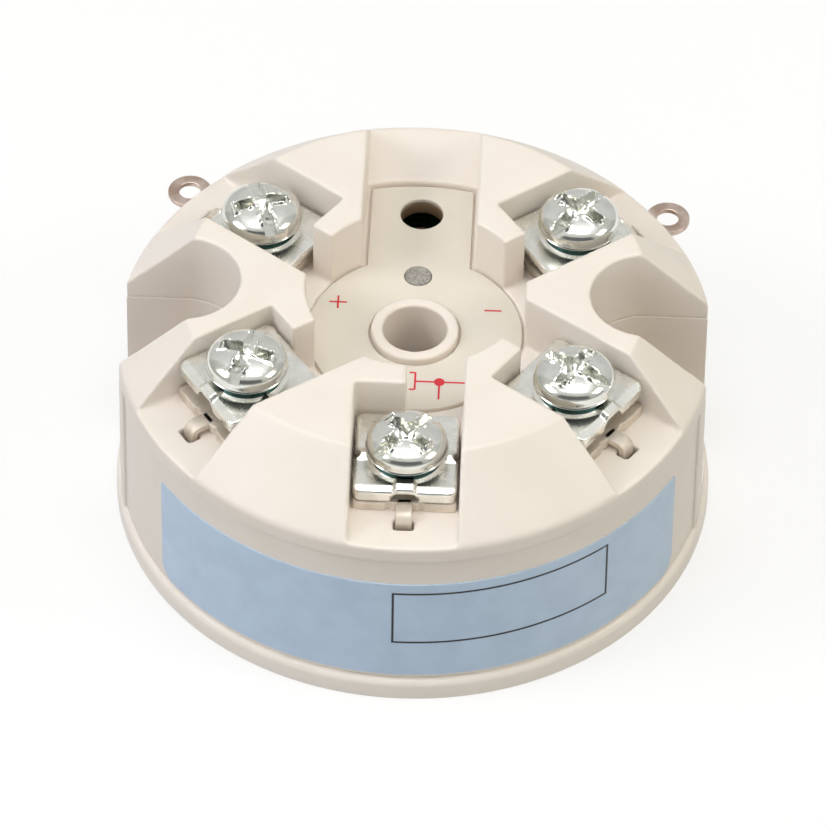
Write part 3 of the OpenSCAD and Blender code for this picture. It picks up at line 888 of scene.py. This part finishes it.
def printed(name, strokes, dots=()):
    """Ink on the face plate: strokes from point to point, and round dots."""
    points, faces = [], []
    foot, head = face_high.z - ink_t, face_high.z + ink_t
    for x0, y0, x1, y1 in strokes:
        head += ink_step
        run = Vector((x1 - x0, y1 - y0))
        side = Vector((-run.y, run.x)).normalized() * line_w / 2
        start = len(points)
        for z in (foot, head):
            for x, y, k in ((x0, y0, 1), (x0, y0, -1), (x1, y1, -1), (x1, y1, 1)):
                points.append((x + k * side.x, y + k * side.y, z))
        a = start
        faces += [(a + 4, a + 5, a + 6, a + 7), (a + 3, a + 2, a + 1, a)]
        faces += [(a, a + 1, a + 5, a + 4), (a + 1, a + 2, a + 6, a + 5)]
        faces += [(a + 2, a + 3, a + 7, a + 6), (a + 3, a, a + 4, a + 7)]
    for x, y, r in dots:
        head += ink_step
        start, sides = len(points), dot_sides
        for z in (foot, head):
            for i in range(sides):
                angle = 2 * math.pi * i / sides
                points.append((x + r * math.cos(angle), y + r * math.sin(angle), z))
        faces.append(tuple(start + sides + i for i in range(sides)))
        faces.append(tuple(start + i for i in reversed(range(sides))))
        for i in range(sides):
            j = (i + 1) % sides
            faces.append((start + i, start + j, start + sides + j, start + sides + i))
    mesh = bpy.data.meshes.new(name)
    mesh.from_pydata(points, [], faces)
    mesh.materials.append(red_ink)
    mesh.update()
    mark = bpy.data.objects.new(name, mesh)
    bpy.context.scene.collection.objects.link(mark)
    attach(mark, "housing")


plus_x, plus_y, plus_arm = -5.63 * mm, 2.84 * mm, 0.64 * mm
minus_x, minus_y, minus_arm = 5.5 * mm, 2.51 * mm, 0.62 * mm
element_x0, element_x1 = -0.2 * mm, 0.22 * mm
element_y0, element_y1 = -5.69 * mm, -4.02 * mm
wire_y = -4.88 * mm
wire_end = 3.9 * mm
node_x, node_r = 1.95 * mm, 0.38 * mm
stem_end = -6.6 * mm
printed("plus_mark", [
    (plus_x - plus_arm, plus_y, plus_x + plus_arm, plus_y),
    (plus_x, plus_y - plus_arm, plus_x, plus_y + plus_arm),
])
printed("minus_mark", [(minus_x - minus_arm, minus_y, minus_x + minus_arm, minus_y)])
printed("sensor_mark", [
    (element_x0, element_y0, element_x1, element_y0),
    (element_x1, element_y0, element_x1, element_y1),
    (element_x1, element_y1, element_x0, element_y1),
    (element_x1, wire_y, wire_end, wire_y),
    (node_x, wire_y, node_x, stem_end),
], [(node_x, wire_y, node_r)])

# Light pipe
# A clear stub that leads the indicator's light up to the face, frosted by its sawn end.
# Cast acrylic, pushed into its hole from below.

pipe_acrylic = moulded_plastic("frosted acrylic", (0.42, 0.40, 0.37), (0.24, 0.228, 0.21), 0.4, 5200)
pipe_edge_r = 0.08 * mm
pipe = rounded_moulding("light_pipe", "indicator_pipe", pipe_acrylic, pipe_edge_r, 3)
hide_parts("light_pipe")
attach(pipe, "housing")

# Table and light
# The part stands on a white table in a white room, under a broad lamp, two side lamps and a
# low front lamp. Pale cards and a dark one stand round it, which only reflections show.

table_mesh = bpy.data.meshes.new("table")
table_half = 3.0
table_mesh.from_pydata([(-table_half, -table_half, 0), (table_half, -table_half, 0),
                        (table_half, table_half, 0), (-table_half, table_half, 0)], [], [(0, 1, 2, 3)])
table = bpy.data.objects.new("table", table_mesh)
bpy.context.scene.collection.objects.link(table)


def seen_directly(tree):
    """The socket that is 1 where the camera, a reflection or glass shows what the tree shades."""
    rays = tree.nodes.new("ShaderNodeLightPath")
    seen = tree.nodes.new("ShaderNodeMath")
    seen.operation = "MAXIMUM"
    seen_or_through = tree.nodes.new("ShaderNodeMath")
    seen_or_through.operation = "MAXIMUM"
    tree.links.new(rays.outputs["Is Camera Ray"], seen.inputs[0])
    tree.links.new(rays.outputs["Is Glossy Ray"], seen.inputs[1])
    tree.links.new(seen.outputs[0], seen_or_through.inputs[0])
    tree.links.new(rays.outputs["Is Transmission Ray"], seen_or_through.inputs[1])
    return seen_or_through.outputs[0]


table_white = bpy.data.materials.new("white table")
table_white.use_nodes = True
tree = table_white.node_tree
tree.nodes.clear()
table_tone = 0.36
lit = tree.nodes.new("ShaderNodeBsdfDiffuse")
lit.inputs["Color"].default_value = (table_tone, table_tone, table_tone, 1)
glow = tree.nodes.new("ShaderNodeEmission")
glow_strength = tree.nodes.new("ShaderNodeMath")
glow_strength.operation = "MULTIPLY"
glow_strength.inputs[1].default_value = 1 - table_tone
both = tree.nodes.new("ShaderNodeAddShader")
out = tree.nodes.new("ShaderNodeOutputMaterial")
tree.links.new(seen_directly(tree), glow_strength.inputs[0])
tree.links.new(glow_strength.outputs[0], glow.inputs["Strength"])
tree.links.new(lit.outputs[0], both.inputs[0])
tree.links.new(glow.outputs[0], both.inputs[1])
tree.links.new(both.outputs[0], out.inputs["Surface"])
table_mesh.materials.append(table_white)

room = bpy.data.worlds.new("white room")
room.use_nodes = True
bpy.context.scene.world = room
tree = room.node_tree
background = tree.nodes["Background"]
direction = tree.nodes.new("ShaderNodeTexCoord")
axes = tree.nodes.new("ShaderNodeSeparateXYZ")
across = tree.nodes.new("ShaderNodeMapRange")
across.inputs["From Min"].default_value = -1
warmth = tree.nodes.new("ShaderNodeValToRGB")
warmth.color_ramp.elements[0].color = (0.44, 0.445, 0.47, 1)
warmth.color_ramp.elements[1].color = (0.41, 0.40, 0.325, 1)
tree.links.new(direction.outputs["Generated"], axes.inputs[0])
tree.links.new(axes.outputs["X"], across.inputs["Value"])
tree.links.new(across.outputs["Result"], warmth.inputs["Fac"])
tone = tree.nodes.new("ShaderNodeMixRGB")
tree.links.new(warmth.outputs["Color"], tone.inputs["Color1"])
tone.inputs["Color2"].default_value = (1, 1, 1, 1)
tree.links.new(seen_directly(tree), tone.inputs["Fac"])
tree.links.new(tone.outputs["Color"], background.inputs["Color"])

part_middle = Vector((0, 0, 0.012))


def soft_lamp(name, place, width, depth, power, colour=(1, 1, 1)):
    """A flat soft lamp that looks at the part's middle."""
    light = bpy.data.lights.new(name, "AREA")
    light.shape = "RECTANGLE"
    light.size = width
    light.size_y = depth
    light.energy = power
    light.color = colour
    lamp = bpy.data.objects.new(name, light)
    lamp.location = place
    lamp.rotation_euler = (part_middle - Vector(place)).to_track_quat("-Z", "Y").to_euler()
    bpy.context.scene.collection.objects.link(lamp)
    return lamp


soft_lamp("overhead lamp", (0.0, -0.03, 0.45), 0.3, 0.16, 0.69)
soft_lamp("left lamp", (-0.38, -0.10, 0.33), 0.2, 0.2, 0.74)
soft_lamp("right lamp", (0.38, -0.08, 0.31), 0.16, 0.16, 0.45, (1.0, 0.93, 0.8))
front_fill = soft_lamp("front fill", (0.0, -0.6, 0.14), 0.5, 0.2, 0.44)
front_fill.visible_glossy = False

card_x, card_y, card_top = 1.5, 0.9, 2.6
dark_half, dark_y = 0.85, -0.88
dark_foot, dark_top = 0.3, 1.15


def upright(x0, y0, x1, y1, foot, top):
    """The corners of a card that stands over the line between two points."""
    return [(x0, y0, foot), (x1, y1, foot), (x1, y1, top), (x0, y0, top)]


def studio_card(name, corners, low_tone, high_tone):
    """A card that only reflections show, from low_tone on the table to high_tone at card_top."""
    mesh = bpy.data.meshes.new(name)
    mesh.from_pydata(corners, [], [(0, 1, 2, 3)])
    material = bpy.data.materials.new(name)
    material.use_nodes = True
    tree = material.node_tree
    tree.nodes.clear()
    place = tree.nodes.new("ShaderNodeTexCoord")
    axes = tree.nodes.new("ShaderNodeSeparateXYZ")
    height = tree.nodes.new("ShaderNodeMapRange")
    height.inputs["From Max"].default_value = card_top
    tint = tree.nodes.new("ShaderNodeValToRGB")
    tint.color_ramp.elements[0].color = (*low_tone, 1)
    tint.color_ramp.elements[1].color = (*high_tone, 1)
    shine = tree.nodes.new("ShaderNodeEmission")
    end = tree.nodes.new("ShaderNodeOutputMaterial")
    tree.links.new(place.outputs["Object"], axes.inputs[0])
    tree.links.new(axes.outputs["Z"], height.inputs["Value"])
    tree.links.new(height.outputs["Result"], tint.inputs["Fac"])
    tree.links.new(tint.outputs["Color"], shine.inputs["Color"])
    tree.links.new(shine.outputs[0], end.inputs["Surface"])
    mesh.materials.append(material)
    card = bpy.data.objects.new(name, mesh)
    bpy.context.scene.collection.objects.link(card)
    card.visible_camera = False
    card.visible_diffuse = False
    card.visible_transmission = False
    card.visible_shadow = False


side_low, side_high = (0.42, 0.43, 0.40), (0.7, 0.7, 0.68)
for name, sx in (("left card", -card_x), ("right card", card_x)):
    studio_card(name, upright(sx, -card_y, sx, card_y, 0, card_top), side_low, side_high)
studio_card("back card", upright(-card_x, card_y, card_x, card_y, 0, card_top),
            (0.62, 0.62, 0.61), (0.82, 0.82, 0.82))
studio_card("front card", upright(-card_x, -card_y, card_x, -card_y, 0, card_top),
            (0.45, 0.45, 0.42), (0.75, 0.75, 0.73))
studio_card("dark card", upright(-dark_half, dark_y, dark_half, dark_y, dark_foot, dark_top),
            (0.16, 0.17, 0.17), (0.05, 0.055, 0.06))

# Camera
# A long lens that looks down at the part from the front, a little under 0.6 m away.
# Its distance, angles and roll were fitted to points of the photograph.

image_px = 826
focal_px = 8209.4
sensor_mm = 36.0
view_from = math.radians(1.77)
view_down = math.radians(45.59)
view_roll = math.radians(0.92)
view_distance = 591.56 * mm
view_target = Vector((-0.01, -0.89, 8.0)) * mm
level = Vector((math.sin(view_from), -math.cos(view_from), 0))
back = level * math.cos(view_down) + Vector((0, 0, math.sin(view_down)))
right = (-back).cross(Vector((0, 0, 1))).normalized()
up = right.cross(-back)
camera_x = right * math.cos(view_roll) + up * math.sin(view_roll)
camera_y = up * math.cos(view_roll) - right * math.sin(view_roll)
lens = bpy.data.cameras.new("long lens")
lens.sensor_width = sensor_mm
lens.lens = focal_px / image_px * sensor_mm
lens.clip_start = 0.01
camera = bpy.data.objects.new("camera", lens)
turned = Matrix((camera_x, camera_y, back)).transposed().to_4x4()
camera.matrix_world = Matrix.Translation(view_target + back * view_distance) @ turned
bpy.context.scene.collection.objects.link(camera)
bpy.context.scene.camera = camera
bpy.context.scene.view_settings.view_transform = "Standard"
